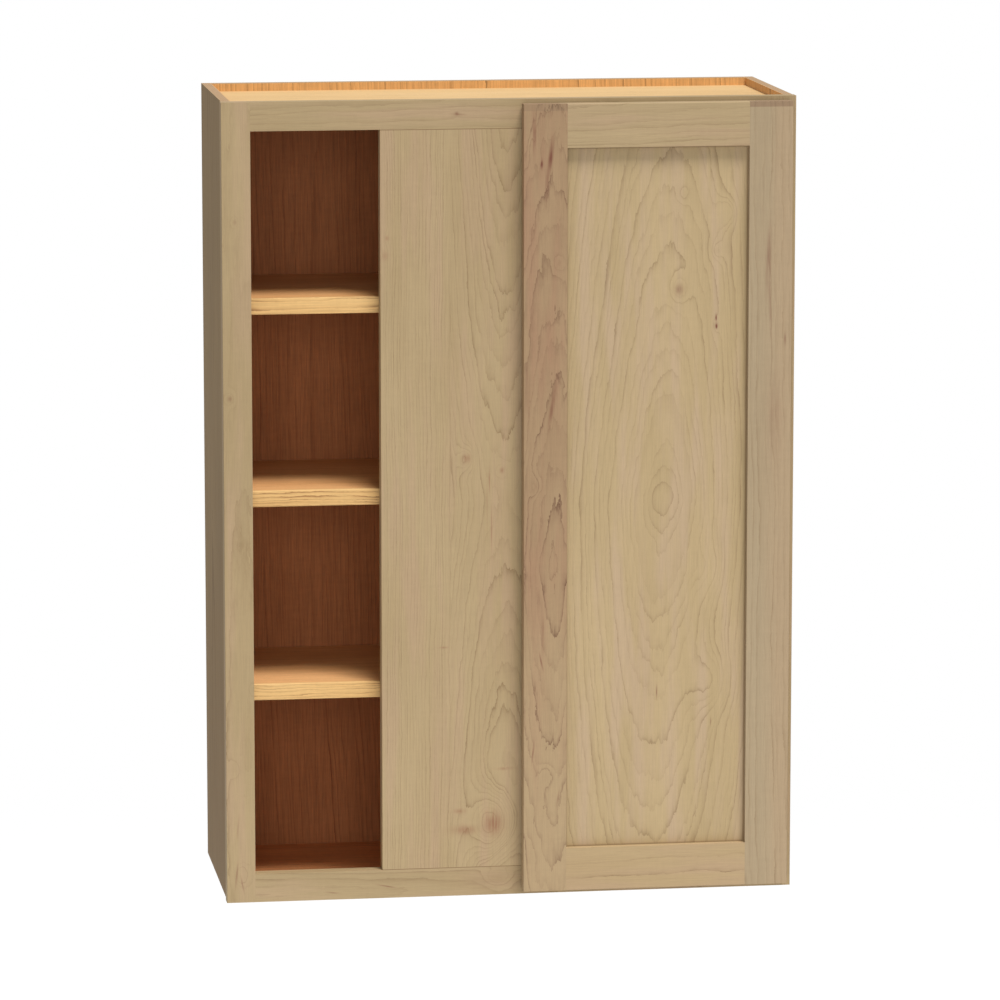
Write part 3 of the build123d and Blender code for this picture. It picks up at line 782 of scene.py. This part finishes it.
def key_light():
    """Even light from high in front, to the right of the cabinet, with soft-edged shadows."""
    lamp = bpy.data.lights.new("key_light", "SUN")
    lamp.energy = KEY_STRENGTH
    lamp.angle = KEY_SOFTNESS
    light = bpy.data.objects.new("key_light", lamp)
    light.rotation_euler = Euler((math.pi / 2 - KEY_ELEVATION, 0.0, KEY_RIGHTWARD))
    bpy.context.scene.collection.objects.link(light)


def front_fill(target):
    """A large soft light in front that faces its target."""
    lamp = bpy.data.lights.new("front_fill", "AREA")
    lamp.shape = "RECTANGLE"
    lamp.size = FILL_WIDTH
    lamp.size_y = FILL_HEIGHT
    lamp.energy = FILL_POWER
    light = bpy.data.objects.new("front_fill", lamp)
    light.location = FILL_PLACE
    light.rotation_euler = (target - Vector(FILL_PLACE)).to_track_quat("-Z", "Y").to_euler()
    bpy.context.scene.collection.objects.link(light)


def white_surroundings():
    """A white world that lights the object more weakly than it looks."""
    world = bpy.data.worlds.new("studio")
    bpy.context.scene.world = world
    world.use_nodes = True
    tree = world.node_tree
    tree.nodes.clear()
    rays = tree.nodes.new("ShaderNodeLightPath")
    dim = tree.nodes.new("ShaderNodeBackground")
    dim.inputs["Color"].default_value = AMBIENT_COLOUR
    dim.inputs["Strength"].default_value = AMBIENT_STRENGTH
    bright = tree.nodes.new("ShaderNodeBackground")
    bright.inputs["Strength"].default_value = 1.0
    bright.inputs["Color"].default_value = WHITE
    chosen = tree.nodes.new("ShaderNodeMixShader")
    out = tree.nodes.new("ShaderNodeOutputWorld")
    tree.links.new(rays.outputs["Is Camera Ray"], chosen.inputs[0])
    tree.links.new(dim.outputs[0], chosen.inputs[1])
    tree.links.new(bright.outputs[0], chosen.inputs[2])
    tree.links.new(chosen.outputs[0], out.inputs["Surface"])


FLOOR_DROP = 1.37  # a wall cabinet's base hangs about this far above the floor
FLOOR_RADIUS = 7.0
FLOOR_SOLID = 2.0  # the floor fades into the white surroundings beyond this radius
FLOOR_GONE = 0.95 * FLOOR_RADIUS
FLOOR_SIDES = 96
FLOOR_TONE, FLOOR_CLOUDS, FLOOR_CLOUD_SIZE = 0.9, 0.02, 0.5


def pale_floor():
    """A round pale floor that fades softly at its edge."""
    bpy.ops.mesh.primitive_circle_add(
        vertices=FLOOR_SIDES,
        radius=FLOOR_RADIUS,
        fill_type="NGON",
        location=(0.0, 0.0, cad_low.z - FLOOR_DROP),
    )
    floor = bpy.context.object
    floor.name = "studio_floor"
    graph = Graph("pale_floor")
    x, y, _ = surface_place(graph, MM)
    reach = graph.math("SQRT", x * x + y * y)
    cloud = graph.noise(x / FLOOR_CLOUD_SIZE, y / FLOOR_CLOUD_SIZE, 0.0, detail=3.0)
    tone = cloud * FLOOR_CLOUDS + FLOOR_TONE
    paint = graph.node("ShaderNodeBsdfDiffuse", {"Color": graph.scale(WHITE, tone)})
    clear = graph.node("ShaderNodeBsdfTransparent", {})
    fade = graph.rise(reach, FLOOR_SOLID, FLOOR_GONE)
    mixed = graph.node("ShaderNodeMixShader", {0: fade, 1: paint.outputs[0], 2: clear.outputs[0]})
    graph.node("ShaderNodeOutputMaterial", {"Surface": mixed.outputs[0]})
    floor.data.materials.append(graph.material)


CAMERA_PLACE = (-1.0327, -7.4294, 0.6806)
CAMERA_DOWNWARD, CAMERA_RIGHTWARD = 0.160, 0.142  # in radians
SENSOR_WIDTH, LENS_LENGTH = 36.0, 198.1  # in millimetres
CLIP_END = 100.0


def camera():
    """Looks slightly down on the cabinet from its front left, from far away."""
    lens = bpy.data.cameras.new("camera")
    lens.sensor_width = SENSOR_WIDTH
    lens.lens = LENS_LENGTH
    lens.clip_end = CLIP_END
    seen_from = bpy.data.objects.new("camera", lens)
    seen_from.location = CAMERA_PLACE
    seen_from.rotation_euler = Euler((math.pi / 2 - CAMERA_DOWNWARD, 0.0, -CAMERA_RIGHTWARD))
    bpy.context.scene.collection.objects.link(seen_from)
    bpy.context.scene.camera = seen_from


key_light()
front_fill((cad_low + cad_high) / 2)
white_surroundings()
pale_floor()
camera()
bpy.context.scene.view_settings.view_transform = "Standard"
